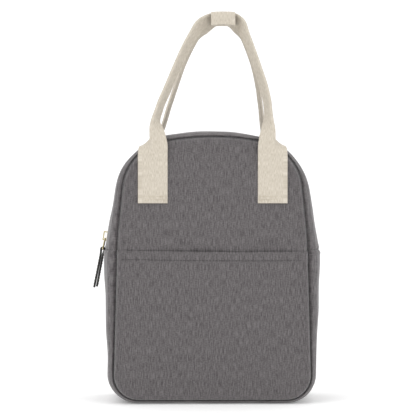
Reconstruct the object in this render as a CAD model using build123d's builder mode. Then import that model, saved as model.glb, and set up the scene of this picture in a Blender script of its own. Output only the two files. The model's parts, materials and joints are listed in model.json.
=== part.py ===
from build123d import *
import math
import os

# Soft insulated lunch bag: a zipped body of cloth, foam and liner, a flat front pocket, two webbing
# handles held together by a hook-and-loop wrap, and a zip slider with a link and a leather pull.
# Millimetres. +Z is up, the front faces -Y, +X is to the right as seen from the front. The origin is
# the middle of the base, on the surface that the bag stands on.

# ---- body ---------------------------------------------------------------------------------------
half_depth = 54.0  # front and back seams to the middle plane
full_section_at = 38.0  # the gusset reaches its widest outline this far from the middle plane
shoulder_section_at = 50.0  # where the gusset turns over from the panel into the side
shoulder_share = 0.62  # how much of the bulge is there at that turn
fold_height = 148.0  # cross seam of the gusset, where the upper front folds forward

cloth_thickness = 1.0
foam_thickness = 4.0
liner_thickness = 1.0
foam_outer = cloth_thickness
liner_outer = cloth_thickness + foam_thickness
inside = liner_outer + liner_thickness

# Half outlines, from the bottom corner round to the top centre: (x, z, corner radius).
seam_corners = [(95.2, 3.7, 24.0), (91.0, 160.0, 150.0), (82.4, 247.1, 50.0), (0.0, 258.7, 240.0)]
side_corners = [(100.2, 0.0, 27.0), (104.3, 141.0, 60.0), (86.0, 252.0, 66.0), (0.0, 265.5, 235.0)]

# ---- front pocket -------------------------------------------------------------------------------
pocket_top = 146.7
pocket_gap = 4.6
pocket_rim = 2.0
hem_height = 12.0
hem_extra = 0.6
hem_half_width = 89.0

# ---- zip ----------------------------------------------------------------------------------------
zip_gap = 4.5  # from the middle plane to the edge of each upper gusset
tape_inner = 0.6
tape_outer = 15.4
tape_thickness = 0.6
coil_outer = 2.4
coil_rise = 0.7  # above the cloth surface
stop_height = 3.4
stop_foot = fold_height + 0.6
coil_foot = stop_foot + stop_height + 0.4

slider_height = 160.0
slider_travel_room = 40.0
slider_length = 11.6
slider_width = 8.4
slider_post = (3.0, 0.8)
top_plate = (0.9, 2.0)  # distances from the cloth surface, outwards positive
bottom_plate = (-3.2, -1.9)
slider_corner = 2.0
slider_nose = 4.8  # the plates' upper end is this far from the slider's middle
bridge_half_length = 4.6
bridge_width = 2.6
bridge_hole_half = 3.4
bridge_top = (4.6, 5.8)
pull_pivot = (-2.4, 3.3)  # along the zip and out from the cloth

link_wire = 1.5
link_length = 11.0  # between the centres of its two bars
link_width = 8.4
link_lean = 12.0  # degrees outwards from straight down

strap_width = 6.4
strap_thickness = 1.6
strap_length = 39.5
strap_eye = 2.2
strap_lean = 11.0

# ---- handles ------------------------------------------------------------------------------------
webbing_width = 28.5
webbing_thickness = 1.6
tab_foot = 190.5
tab_head = 244.6
loop_foot = 247.0
left_tab_x = -57.2
right_tab_x = 57.6
folded_width = 15.0
folded_thickness = 3.0
lean_foot = 258.0  # the webbing stands clear of the panel up to here, then leans inwards
lean_y = 56.8
foot_y = 56.0
bundle_width = 9.0  # the webbing gathered inside the wrap
bundle_height = 8.6
bundle_y = 4.8
bundle_z = 375.0
bundle_overhang = (2.5, 2.0)  # past the wrap's left and right ends
band_turn = 52.0  # degrees that the folded webbing is turned from facing front
fold_end = 266.0  # the webbing is folded in two from here up
turn_span = (261.0, 284.0)
gather_span = (352.0, 370.0)

# ---- handle wrap --------------------------------------------------------------------------------
wrap_x = (-0.7, 23.3)
wrap_wall = 1.6
wrap_cavity_y = 9.6
wrap_cavity_z = (370.2, 379.8)
patch_thickness = 1.2
patch_z = (369.6, 375.6)
lip_top = 376.2


def lerp(a, b, share):
    """The value that lies the given share of the way from a to b."""
    return a + (b - a) * share


def smooth(value, low, high):
    """0 below low, 1 above high, and an S-shaped rise between them."""
    share = min(max((value - low) / (high - low), 0.0), 1.0)
    return share * share * (3 - 2 * share)


def inset_corner(before, corner, after, depth):
    """The corner of an outline whose two sides have both moved inwards by depth."""
    first = (Vector(corner[0], corner[1]) - Vector(before[0], before[1])).normalized()
    second = (Vector(after[0], after[1]) - Vector(corner[0], corner[1])).normalized()
    bisector = (second - first).normalized()
    half_turn = math.radians(first.get_angle(second)) / 2
    moved = Vector(corner[0], corner[1]) + bisector * (depth / math.cos(half_turn))
    return moved.X, moved.Y, corner[2] - depth


def outline_corners(share, depth=0.0):
    """The corners and radii of the bag's outline: share 0 is the seam, 1 is the full gusset."""
    half = [
        tuple(lerp(a, b, share) for a, b in zip(seam, side))
        for seam, side in zip(seam_corners, side_corners)
    ]
    ring = half + [(-x, z, radius) for x, z, radius in reversed(half[:-1])]
    count = len(ring)
    moved = [inset_corner(ring[i - 1], ring[i], ring[(i + 1) % count], depth) for i in range(count)]
    return [(x, z) for x, z, _ in moved], [radius for _, _, radius in moved]


def depth_plane(y):
    """An upright plane at depth y whose sketch axes are the bag's X and Z."""
    return Plane(origin=(0, y, 0), x_dir=(1, 0, 0), z_dir=(0, -1, 0))


def outline_face(y, share, depth=0.0, hole_depth=None):
    """The bag's outline as an upright face at depth y, with a hole where hole_depth is given."""
    with BuildSketch(depth_plane(y)) as face:
        corners, radii = outline_corners(share, depth)
        with BuildLine():
            FilletPolyline(*corners, radius=radii, close=True)
        make_face()
        if hole_depth is not None:
            corners, radii = outline_corners(share, hole_depth)
            with BuildLine():
                FilletPolyline(*corners, radius=radii, close=True)
            make_face(mode=Mode.SUBTRACT)
    return face.sketch


def body_solid(depth):
    """The closed shape of the bag, everywhere this deep below its outer surface."""
    shrink = (half_depth - depth) / half_depth
    stations = [(half_depth, 0.0), (shoulder_section_at, shoulder_share), (full_section_at, 1.0)]
    stations += [(-y, share) for y, share in reversed(stations)]
    with BuildPart() as solid:
        loft([outline_face(y * shrink, share, depth) for y, share in stations], ruled=True)
    return solid.part


def keep(y_range, z_range, x_range=(-150, 150)):
    """Trims the part in progress to a box."""
    ranges = (x_range, y_range, z_range)
    with Locations(tuple((low + high) / 2 for low, high in ranges)):
        Box(*[high - low for low, high in ranges], mode=Mode.INTERSECT)


def block(x_range, y_range, z_range, mode=Mode.ADD):
    """Adds or cuts a box given by its ranges."""
    ranges = (x_range, y_range, z_range)
    with Locations(tuple((low + high) / 2 for low, high in ranges)):
        Box(*[high - low for low, high in ranges], mode=mode)


def save(piece, name):
    """Labels a finished piece and writes its file."""
    piece.part.label = name
    export_step(piece.part, f"parts/{name}.step")


os.makedirs("parts", exist_ok=True)

# ---- cloth, foam and liner ----------------------------------------------------------------------
# Each layer is the space between two nested body shapes, cut where the real pieces are sewn.
surfaces = {d: body_solid(d) for d in (0.0, foam_outer, liner_outer, inside)}
above = (fold_height, 300.0)
below = (-1.0, fold_height)
everywhere = (-1.0, 300.0)


def layer(outer, inner):
    """Fills the part in progress with the layer between two depths."""
    add(surfaces[outer])
    add(surfaces[inner], mode=Mode.SUBTRACT)


for prefix, outer, inner, split_at in (
    ("cloth", 0.0, foam_outer, zip_gap),
    ("foam", foam_outer, liner_outer, tape_outer + 0.2),
    ("liner", liner_outer, inside, zip_gap),
):
    wall = half_depth - inner
    front = (-half_depth - 1, -wall)
    back = (wall, half_depth + 1)
    with BuildPart() as front_lower:
        layer(outer, inner)
        keep(front, below)
    with BuildPart() as front_upper:
        layer(outer, inner)
        keep(front, above)
    with BuildPart() as back_wall:
        layer(outer, inner)
        keep(back, everywhere)
    with BuildPart() as gusset_lower:
        layer(outer, inner)
        keep((-wall, wall), below)
    with BuildPart() as gusset_upper_front:
        layer(outer, inner)
        keep((-wall, -split_at), above)
    with BuildPart() as gusset_upper_back:
        layer(outer, inner)
        keep((split_at, wall), above)
    save(front_lower, f"{prefix}_front_lower")
    save(front_upper, f"{prefix}_front_upper")
    save(back_wall, f"{prefix}_back")
    save(gusset_lower, f"{prefix}_gusset_lower")
    save(gusset_upper_front, f"{prefix}_gusset_upper_front")
    save(gusset_upper_back, f"{prefix}_gusset_upper_back")


# ---- seam bindings ------------------------------------------------------------------------------
binding_thickness = 1.2
binding_edges = (inside + 1.0, inside + 8.0)


def binding(y_from, z_range):
    """Lays a flat ring of binding tape on the inner face of a wall, along its seam."""
    extrude(outline_face(y_from, 0.0, *binding_edges), amount=binding_thickness)
    keep((-half_depth, half_depth), z_range)


binding_y = half_depth - inside
with BuildPart() as binding_front_lower:
    binding(-binding_y + binding_thickness, below)
with BuildPart() as binding_front_upper:
    binding(-binding_y + binding_thickness, above)
with BuildPart() as binding_back:
    binding(binding_y, everywhere)
save(binding_front_lower, "binding_front_lower")
save(binding_front_upper, "binding_front_upper")
save(binding_back, "binding_back")

# ---- front pocket -------------------------------------------------------------------------------
# A single layer of cloth, sewn in at both sides and the bottom, with a doubled hem along its top.
pocket_front = -half_depth - pocket_gap - cloth_thickness
with BuildPart() as front_pocket:
    extrude(outline_face(-half_depth, 0.0), amount=pocket_gap + cloth_thickness)
    extrude(outline_face(-half_depth, 0.0, pocket_rim), amount=pocket_gap, mode=Mode.SUBTRACT)
    keep((pocket_front, -half_depth), (-1.0, pocket_top))
    hem_y = (pocket_front - hem_extra, pocket_front)
    block((-hem_half_width, hem_half_width), hem_y, (pocket_top - hem_height, pocket_top))
save(front_pocket, "front_pocket")


# ---- zip tapes, coils and stops -----------------------------------------------------------------
def zip_strip(depth_range, y_range, foot):
    """A strip that follows the gusset over the top of the bag, down to foot on both sides."""
    extrude(outline_face(y_range[1], 1.0, *depth_range), amount=y_range[1] - y_range[0])
    keep(y_range, (foot, 300.0))


tape_depth = (cloth_thickness, cloth_thickness + tape_thickness)
coil_depth = (-coil_rise, cloth_thickness)
with BuildPart() as zip_tape_front:
    zip_strip(tape_depth, (-tape_outer, -tape_inner), fold_height)
with BuildPart() as zip_tape_back:
    zip_strip(tape_depth, (tape_inner, tape_outer), fold_height)
with BuildPart() as zip_coil_front:
    zip_strip(coil_depth, (-coil_outer, -tape_inner), coil_foot)
with BuildPart() as zip_coil_back:
    zip_strip(coil_depth, (tape_inner, coil_outer), coil_foot)
with BuildPart() as zip_stops:
    zip_strip((-coil_rise - 0.4, cloth_thickness), (-coil_outer - 0.5, coil_outer + 0.5), stop_foot)
    keep((-half_depth, half_depth), (stop_foot, stop_foot + stop_height))
for piece, name in (
    (zip_tape_front, "zip_tape_front"),
    (zip_tape_back, "zip_tape_back"),
    (zip_coil_front, "zip_coil_front"),
    (zip_coil_back, "zip_coil_back"),
    (zip_stops, "zip_stops"),
):
    save(piece, name)

# ---- zip slider, link and leather pull ----------------------------------------------------------
# The slider sits on the straight left side of the zip. Its own plane has x along the zip, upwards,
# and y outwards from the cloth.
low_corner, high_corner = side_corners[1], side_corners[2]
run = Vector(-high_corner[0], 0, high_corner[1]) - Vector(-low_corner[0], 0, low_corner[1])
zip_up = run.normalized()
zip_out = Vector(-zip_up.Z, 0, zip_up.X)
slider_share = (slider_height - low_corner[1]) / (high_corner[1] - low_corner[1])
slider_origin = Vector(-lerp(low_corner[0], high_corner[0], slider_share), 0, slider_height)
slider_plane = Plane(origin=slider_origin, x_dir=zip_up, z_dir=zip_up.cross(zip_out))


def slider_slab(along, out, width):
    """A slab of the slider, centred on the zip, given by its ranges along and out from it."""
    with BuildSketch(slider_plane) as slab:
        with Locations(((along[0] + along[1]) / 2, (out[0] + out[1]) / 2)):
            Rectangle(along[1] - along[0], out[1] - out[0])
    extrude(slab.sketch, amount=width / 2, both=True)


half_length = slider_length / 2
with BuildPart() as zip_slider:
    slider_slab((-slider_nose, half_length), top_plate, slider_width)
    slider_slab((-slider_nose, half_length), bottom_plate, slider_width)
    ends = zip_slider.edges().filter_by(lambda e: abs(e.length - (top_plate[1] - top_plate[0])) < 0.01)
    fillet(ends, slider_corner)
    slider_slab(
        (half_length - slider_post[0], half_length - 0.6),
        (bottom_plate[1], top_plate[0]),
        slider_post[1],
    )
    for leg in (-1, 1):
        legs = sorted((leg * bridge_hole_half, leg * bridge_half_length))
        slider_slab(legs, (top_plate[1], bridge_top[0]), bridge_width)
    slider_slab((-bridge_half_length, bridge_half_length), bridge_top, bridge_width)
save(zip_slider, "zip_slider_body")

pivot = slider_origin + zip_up * pull_pivot[0] + zip_out * pull_pivot[1]
link_down = Vector(-math.sin(math.radians(link_lean)), 0, -math.cos(math.radians(link_lean)))
link_plane = Plane(origin=pivot, x_dir=(0, 1, 0), z_dir=Vector(0, 1, 0).cross(link_down))
with BuildPart() as pull_link:
    with BuildLine(link_plane) as link_path:
        FilletPolyline(
            (-link_width / 2, 0),
            (link_width / 2, 0),
            (link_width / 2, link_length),
            (-link_width / 2, link_length),
            radius=1.5,
            close=True,
        )
    start = link_path.line @ 0.0
    with BuildSketch(Plane(origin=start, z_dir=link_path.line % 0.0)):
        Circle(link_wire / 2)
    sweep(path=link_path.line)
save(pull_link, "pull_link")

eye = pivot + link_down * link_length
strap_down = Vector(-math.sin(math.radians(strap_lean)), 0, -math.cos(math.radians(strap_lean)))
strap_plane = Plane(origin=eye, x_dir=strap_down, z_dir=(0, 1, 0))
with BuildPart() as leather_pull:
    with BuildSketch(strap_plane):
        Circle(strap_eye / 2 + strap_thickness)
        with Locations((strap_length / 2, 0)):
            Rectangle(strap_length, 2 * strap_thickness)
        Circle(strap_eye / 2, mode=Mode.SUBTRACT)
    extrude(amount=strap_width / 2, both=True)
    tip = leather_pull.edges().filter_by(lambda e: abs(e.length - 2 * strap_thickness) < 0.01)
    tip = tip.sort_by(Axis.Z)[:2]
    fillet(tip, 2.5)
save(leather_pull, "leather_pull")


# ---- handles ------------------------------------------------------------------------------------
def band_plane(point, along, turn):
    """The plane across the webbing, with its x axis along the webbing's width.

    At turn 0 the webbing faces the front, and at 90 it stands edge-on to it.
    """
    outwards = Vector(-along.Z, 0, along.X).normalized()
    backwards = outwards.cross(along).normalized()
    turned = math.radians(turn)
    return Plane(
        origin=point, x_dir=outwards * math.cos(turned) + backwards * math.sin(turned), z_dir=along
    )


def loop_sections(leg, count):
    """Planes and sizes of the webbing along one leg: flat, then folded in two, then gathered."""
    for i in range(count + 1):
        point, along = leg.line @ (i / count), leg.line % (i / count)
        fold = smooth(point.Z, loop_foot, fold_end)
        gather = smooth(point.Z, *gather_span)
        width = lerp(lerp(webbing_width, folded_width, fold), bundle_width, gather)
        thick = lerp(lerp(webbing_thickness, folded_thickness, fold), bundle_height, gather)
        turn = lerp(band_turn * smooth(point.Z, *turn_span), 90.0, gather)
        yield band_plane(point, along, turn), width, thick


def leg_line(side, foot_x, wrap_end, by_height):
    """A leg of a handle, from its foot on a panel up to the end of the wrap.

    by_height gives its x where the handle leans towards the middle plane.
    """
    lean = [
        (x, side * lerp(lean_y, bundle_y, (z - lean_foot) / (bundle_z - lean_foot)), z)
        for x, z in by_height
    ]
    sense = 1 if wrap_end > foot_x else -1
    with BuildLine() as leg:
        Spline(
            (foot_x, side * foot_y, loop_foot),
            (foot_x, side * lean_y, lean_foot),
            *lean,
            (wrap_end, side * bundle_y, bundle_z),
            tangents=[(0, 0, 1), (sense, 0, 0)],
            tangent_scalars=[0.4, 0.4],
        )
    return leg


def handle_loop(side, left, right):
    """One handle, from foot to foot: side is -1 at the front and 1 at the back."""
    left_leg = leg_line(side, left_tab_x, wrap_x[0] - bundle_overhang[0], left)
    right_leg = leg_line(side, right_tab_x, wrap_x[1] + bundle_overhang[1], right)
    sections = list(loop_sections(left_leg, 12))
    for plane, width, thick in reversed(list(loop_sections(right_leg, 12))):
        sections.append((Plane(plane.origin, x_dir=plane.x_dir, z_dir=-plane.z_dir), width, thick))
    faces = []
    for plane, width, thick in sections:
        with BuildSketch(plane) as section:
            Rectangle(width, thick)
        faces.append(section.sketch)
    loft(faces, ruled=True)


# Heights of the points along each leg, and the x of the leg's centre at each of them.
leg_heights = (268.0, 291.0, 313.0, 331.0, 348.0, 364.0)
front_left = zip((-54.8, -48.5, -40.0, -33.0, -25.0, -14.5), leg_heights)
front_right = zip((56.5, 54.0, 50.0, 45.0, 38.5, 30.5), leg_heights)
back_left = zip((-51.5, -43.5, -36.0, -29.5, -21.5, -12.0), leg_heights)
back_right = zip((55.0, 52.0, 48.5, 44.0, 37.5, 29.5), leg_heights)
with BuildPart() as front_handle_loop:
    handle_loop(-1, front_left, front_right)
with BuildPart() as back_handle_loop:
    handle_loop(1, back_left, back_right)
save(front_handle_loop, "front_handle_loop")
save(back_handle_loop, "back_handle_loop")

stitch_rows = 2
stitches_in_row = 8
stitch_size = (2.4, 0.4, 0.5)
stitch_pitch = 3.2
stitch_row_height = 199.5
stitch_row_gap = 40.0
for side, name in ((-1, "front"), (1, "back")):
    face = sorted((side * half_depth, side * (half_depth + webbing_thickness)))
    thread_y = side * (half_depth + webbing_thickness + stitch_size[1] / 2)
    with BuildPart() as handle_tabs:
        for x in (left_tab_x, right_tab_x):
            block((x - webbing_width / 2, x + webbing_width / 2), face, (tab_foot, tab_head))
    with BuildPart() as stitches:
        for x in (left_tab_x, right_tab_x):
            for row in range(stitch_rows):
                height = stitch_row_height + row * stitch_row_gap
                for i in range(stitches_in_row):
                    along = (i - (stitches_in_row - 1) / 2) * stitch_pitch
                    with Locations((x + along, thread_y, height)):
                        Box(*stitch_size)
    save(handle_tabs, f"{name}_handle_tabs")
    save(stitches, f"{name}_handle_stitches")

# ---- handle wrap --------------------------------------------------------------------------------
# The base is a J of webbing sewn to the back handle; the flap goes over the top and down the front.
back_face = wrap_cavity_y + wrap_wall
floor = wrap_cavity_z[0] - wrap_wall
with BuildPart() as wrap_base:
    block(wrap_x, (wrap_cavity_y, back_face), (floor, wrap_cavity_z[1]))
    block(wrap_x, (-back_face, wrap_cavity_y), (floor, wrap_cavity_z[0]))
    block(wrap_x, (-back_face, -wrap_cavity_y), (wrap_cavity_z[0], lip_top))
loop_face = -back_face - patch_thickness
hook_face = loop_face - patch_thickness
patch_x = (wrap_x[0] + 2.0, wrap_x[1] - 2.0)
with BuildPart() as wrap_loop_patch:
    block(patch_x, (loop_face, -back_face), patch_z)
with BuildPart() as wrap_hook_patch:
    block(patch_x, (hook_face, loop_face), patch_z)
with BuildPart() as wrap_flap:
    block(wrap_x, (hook_face - wrap_wall, back_face), (wrap_cavity_z[1], wrap_cavity_z[1] + wrap_wall))
    block(wrap_x, (hook_face - wrap_wall, hook_face), (floor + 0.6, wrap_cavity_z[1]))
for piece, name in (
    (wrap_base, "wrap_base"),
    (wrap_loop_patch, "wrap_loop_patch"),
    (wrap_hook_patch, "wrap_hook_patch"),
    (wrap_flap, "wrap_flap"),
):
    save(piece, name)
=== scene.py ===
"""Soft insulated lunch bag with a front pocket, an arched zip and two cotton webbing handles.

Every form is worked out in millimetres as a surface of two parameters, and put into a mesh in metres.
"""
import json
import logging
import math
from dataclasses import dataclass
from enum import Enum
from typing import Iterable, Iterator, Optional, Sequence

import bmesh
import bpy
import numpy as np
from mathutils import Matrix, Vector


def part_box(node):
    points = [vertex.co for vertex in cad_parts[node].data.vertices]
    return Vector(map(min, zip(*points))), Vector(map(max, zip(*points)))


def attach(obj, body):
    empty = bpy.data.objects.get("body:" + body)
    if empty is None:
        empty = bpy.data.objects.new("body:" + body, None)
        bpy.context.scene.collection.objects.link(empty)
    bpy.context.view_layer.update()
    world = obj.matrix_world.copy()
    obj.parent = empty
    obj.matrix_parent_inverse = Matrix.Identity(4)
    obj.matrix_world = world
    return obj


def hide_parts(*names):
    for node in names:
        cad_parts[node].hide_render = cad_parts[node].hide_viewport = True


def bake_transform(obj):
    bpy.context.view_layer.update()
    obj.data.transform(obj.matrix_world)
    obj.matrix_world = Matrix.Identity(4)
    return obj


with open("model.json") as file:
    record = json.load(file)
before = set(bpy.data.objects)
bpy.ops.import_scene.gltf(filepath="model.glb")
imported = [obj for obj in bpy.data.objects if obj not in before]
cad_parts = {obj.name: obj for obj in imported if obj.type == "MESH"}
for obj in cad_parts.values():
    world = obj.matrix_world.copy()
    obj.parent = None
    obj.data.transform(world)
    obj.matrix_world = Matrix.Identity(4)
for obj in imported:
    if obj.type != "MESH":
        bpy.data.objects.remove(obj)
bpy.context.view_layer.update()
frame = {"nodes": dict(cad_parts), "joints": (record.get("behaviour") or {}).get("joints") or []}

logging.basicConfig(level=logging.INFO, format="%(message)s")
log = logging.getLogger("lunch_bag")

MM = 0.001
WELD = 2e-6  # metres within which points are one
X_WAY, Y_WAY, Z_WAY = (1.0, 0.0, 0.0), (0.0, 1.0, 0.0), (0.0, 0.0, 1.0)
Array = np.ndarray
Tree = bpy.types.NodeTree
Socket = bpy.types.NodeSocket
Piece = bpy.types.Object
Profile = Sequence[tuple[float, float]]


# ---- numbers and curves -----------------------------------------------------------------------------


def smooth(value: Array, low: float, high: float) -> Array:
    """An S-shaped rise from 0 at low to 1 at high: 3t squared less 2t cubed."""
    share = np.clip((np.asarray(value, float) - low) / (high - low), 0.0, 1.0)
    return share * share * (3 - 2 * share)


def ridge(value: Array, centre: float, width: float) -> Array:
    """A bell of height 1 at centre: e to the minus square of the distance over the width."""
    return np.exp(-(((np.asarray(value, float) - centre) / width) ** 2))


def unit(vectors: Array) -> Array:
    """The same vectors at length 1."""
    return vectors / np.maximum(np.linalg.norm(vectors, axis=-1, keepdims=True), 1e-9)


def unevenness(across: Array, along: Array, wavelength: float, seed: int) -> Array:
    """A gentle hand-made unevenness, about -1 to 1.

    The sum of seven sines that cross in seeded random directions, divided by the root of their number.

    Args:
        across: first coordinate, in mm.
        along: second coordinate, in mm.
        wavelength: mean wavelength of the sines, in mm.
        seed: seed of the random directions.

    Returns:
        The height at each place.
    """
    count = 7
    draw = np.random.default_rng(seed)
    angle, phase = draw.uniform(0, 2 * math.pi, (2, count))
    length = wavelength * draw.uniform(0.6, 1.6, count)
    place = np.asarray(across)[..., None] * np.cos(angle) + np.asarray(along)[..., None] * np.sin(angle)
    return np.sin(2 * math.pi * place / length + phase).sum(-1) / math.sqrt(count)


def curve(points: Sequence[Sequence[float]], count: int) -> tuple[Array, Array]:
    """A smooth line through points, and its directions.

    Between two points it is the cubic that has the chord's slope through their neighbours at each end,
    with the chord length as its parameter.

    Args:
        points: places that the line passes through, in mm.
        count: number of rows to return.

    Returns:
        (places, unit directions), each count rows long.
    """
    knots = np.asarray(points, float)
    chord = np.concatenate([[0], np.cumsum(np.linalg.norm(np.diff(knots, axis=0), axis=1))])
    slope = np.gradient(knots, chord, axis=0)
    at = np.linspace(0, chord[-1], count)
    index = np.clip(np.searchsorted(chord, at, side="right") - 1, 0, len(chord) - 2)
    span = (chord[index + 1] - chord[index])[:, None]
    t = (at - chord[index])[:, None] / span
    places = (
        (2 * t**3 - 3 * t**2 + 1) * knots[index]
        + (t**3 - 2 * t**2 + t) * span * slope[index]
        + (3 * t**2 - 2 * t**3) * knots[index + 1]
        + (t**3 - t**2) * span * slope[index + 1]
    )
    return places, unit(np.gradient(places, axis=0))


def all_along(way: Sequence[float], path: Array) -> Array:
    """The same direction at every point of a path."""
    return np.broadcast_to(way, path.shape)


def run_of(line: Array) -> Array:
    """Distance along a line of points, from its start."""
    return np.concatenate([[0], np.cumsum(np.linalg.norm(np.diff(line, axis=0), axis=1))])


# ---- meshes -----------------------------------------------------------------------------------------


@dataclass
class Patch:
    """A grid of points of one surface, and the place of each on the flat material, all in mm."""

    points: Array
    flat: Array


def sweep(path: Array, side: Array, rise: Array, section: Array) -> Patch:
    """A closed section carried along a path, and closed at both ends.

    Each point is the path's place plus its first coordinate times side plus its second times rise. An end
    is one more row in which the section has shrunk to its middle.

    Args:
        path: (n, 3) places.
        side: (n, 3) unit vectors of the section's first coordinate.
        rise: (n, 3) unit vectors of its second.
        section: (n, m, 2) or (m, 2) section, whose last point repeats its first.

    Returns:
        The patch, with distances round the section and along the path as its flat places.
    """
    shape = np.broadcast_to(section, (len(path),) + section.shape[-2:])
    points = path[:, None] + shape[..., :1] * side[:, None] + shape[..., 1:] * rise[:, None]
    steps = np.linalg.norm(np.diff(shape, axis=1), axis=-1)
    around = np.concatenate([np.zeros((len(path), 1)), np.cumsum(steps, axis=1)], axis=1)
    along = np.broadcast_to(run_of(path)[:, None], around.shape)
    flat = np.stack([around, along], axis=-1)
    ends = [np.broadcast_to(row.mean(0), row.shape)[None] for row in (points[0], points[-1])]
    points = np.concatenate([ends[0], points, ends[1]])
    return Patch(points, np.concatenate([flat[:1], flat, flat[-1:]]))


def round_section(width: float, thick: float, corner: float, steps: int = 4) -> Array:
    """A closed rectangle with round corners: quarter circles of the corner radius about four centres."""
    turn = np.linspace(0, math.pi / 2, steps)
    parts = []
    for quarter in range(4):
        angle = turn + quarter * math.pi / 2
        centre = np.array([width / 2 - corner, thick / 2 - corner]) * np.sign(
            [math.cos(quarter * math.pi / 2 + 0.7), math.sin(quarter * math.pi / 2 + 0.7)]
        )
        parts.append(centre + corner * np.stack([np.cos(angle), np.sin(angle)], axis=-1))
    ring = np.concatenate(parts)
    return np.concatenate([ring, ring[:1]])


def repeated(part: Patch, places: Array, frames: Array) -> list[Patch]:
    """Copies of one small patch, each turned by its frame's rows and moved to its place."""
    turned = np.einsum("abk,nkc->nabc", part.points, frames) + places[:, None, None]
    return [Patch(points, part.flat) for points in turned]


def make_piece(
    name: str,
    patches: Iterable[Patch],
    material: bpy.types.Material,
    inside: Optional[Sequence[float]] = None,
    thickness: float = 0.0,
) -> Piece:
    """Puts patches into one mesh object at the origin, welded where they meet.

    Args:
        name: the piece's name.
        patches: its surfaces.
        material: its finish.
        inside: a point in mm behind an open surface, so that its faces point away from it. A closed
            piece gives none, and its normals are worked out from its volume.
        thickness: material thickness in mm that is added behind an open surface.

    Returns:
        The object.
    """
    places, faces, flats, first = [], [], [], 0
    for patch in patches:
        rows, columns = patch.points.shape[:2]
        index = first + np.arange(rows * columns).reshape(rows, columns)
        quads = np.stack([index[:-1, :-1], index[1:, :-1], index[1:, 1:], index[:-1, 1:]], axis=-1)
        quads = quads.reshape(-1, 4)
        flat_points = patch.points.reshape(-1, 3)
        if inside is not None:
            corners = flat_points[quads - first]
            normals = np.cross(corners[:, 2] - corners[:, 0], corners[:, 3] - corners[:, 1])
            if (normals * (corners.mean(1) - np.asarray(inside))).sum() < 0:
                quads = quads[:, ::-1]
        places.append(flat_points)
        faces.append(quads)
        flats.append(patch.flat.reshape(-1, 2))
        first += rows * columns
    place, face, flat = np.concatenate(places) * MM, np.concatenate(faces), np.concatenate(flats)
    mesh = bpy.data.meshes.new(name)
    mesh.from_pydata(place.tolist(), [], face.tolist())
    layer = mesh.uv_layers.new(name="flat_mm")
    corner = np.empty(len(mesh.loops), np.int32)
    mesh.loops.foreach_get("vertex_index", corner)
    layer.data.foreach_set("uv", flat[corner].astype(np.float32).ravel())
    shape = bmesh.new()
    shape.from_mesh(mesh)
    bmesh.ops.remove_doubles(shape, verts=shape.verts, dist=WELD)
    if inside is None:
        bmesh.ops.recalc_face_normals(shape, faces=shape.faces)
    shape.to_mesh(mesh)
    shape.free()
    mesh.polygons.foreach_set("use_smooth", np.ones(len(mesh.polygons), bool))
    mesh.materials.append(material)
    piece = bpy.data.objects.new(name, mesh)
    bpy.context.scene.collection.objects.link(piece)
    if thickness:
        wall = piece.modifiers.new("thickness", "SOLIDIFY")
        wall.thickness = thickness * MM
        wall.offset = -1.0
    log.info("%s: %d faces", name, len(mesh.polygons))
    return piece


# ---- finishes ---------------------------------------------------------------------------------------


def linear(hex_colour: str) -> tuple[float, float, float, float]:
    """An sRGB hex colour as linear red, green, blue and alpha."""
    parts = [int(hex_colour[i : i + 2], 16) / 255 for i in (1, 3, 5)]
    return tuple([c / 12.92 if c <= 0.04045 else ((c + 0.055) / 1.055) ** 2.4 for c in parts] + [1.0])


def add(tree: Tree, kind: str, inputs: Optional[dict] = None, **settings) -> bpy.types.Node:
    """Adds a node, sets its settings, and gives each named input a value or a link from an output."""
    node = tree.nodes.new(kind)
    for key, value in settings.items():
        setattr(node, key, value)
    for key, value in (inputs or {}).items():
        if isinstance(value, Socket):
            tree.links.new(value, node.inputs[key])
        else:
            node.inputs[key].default_value = value
    return node


def stripes(period: float) -> float:
    """The scale at which a banded wave repeats once every period mm: a full turn over 20 periods."""
    return 2 * math.pi / (20 * period)


@dataclass(frozen=True)
class Finish:
    """What every finish has: the record's slot, its colours, and its sheen on the surface."""

    slot: str
    dark: str
    light: str
    roughness: float
    metallic: float = 0.0
    sheen: float = 0.0
    ior: float = 1.5

    def height(self, tree: Tree, place: Socket) -> Optional[Socket]:
        """The relief's height output, or None for a surface that is smooth."""
        return None

    def share(self, tree: Tree, place: Socket) -> Socket:
        """How much of the light colour is at each place: a soft mottle a few mm wide."""
        mottle = add(tree, "ShaderNodeTexNoise", {"Vector": place, "Scale": 0.35, "Detail": 3.0})
        return mottle.outputs["Fac"]

    def material(self, relief: float = 0.1) -> bpy.types.Material:
        """Builds the material: colours mixed by share(), relief from height() in mm, on one shader."""
        made = bpy.data.materials.new(self.slot)
        made.use_nodes = True
        tree = made.node_tree
        tree.nodes.clear()
        place = add(tree, "ShaderNodeUVMap", uv_map="flat_mm").outputs["UV"]
        colour = add(
            tree,
            "ShaderNodeMix",
            {0: self.share(tree, place), 6: linear(self.dark), 7: linear(self.light)},
            data_type="RGBA",
        )
        inputs = {
            "Base Color": colour.outputs[2],
            "Roughness": self.roughness,
            "Metallic": self.metallic,
            "IOR": self.ior,
            "Sheen Weight": self.sheen,
        }
        height = self.height(tree, place)
        if height is not None:
            relief_inputs = {"Height": height, "Strength": 0.6, "Distance": relief * MM}
            inputs["Normal"] = add(tree, "ShaderNodeBump", relief_inputs).outputs["Normal"]
        shader = add(tree, "ShaderNodeBsdfPrincipled", inputs)
        add(tree, "ShaderNodeOutputMaterial", {"Surface": shader.outputs["BSDF"]})
        return made


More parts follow.
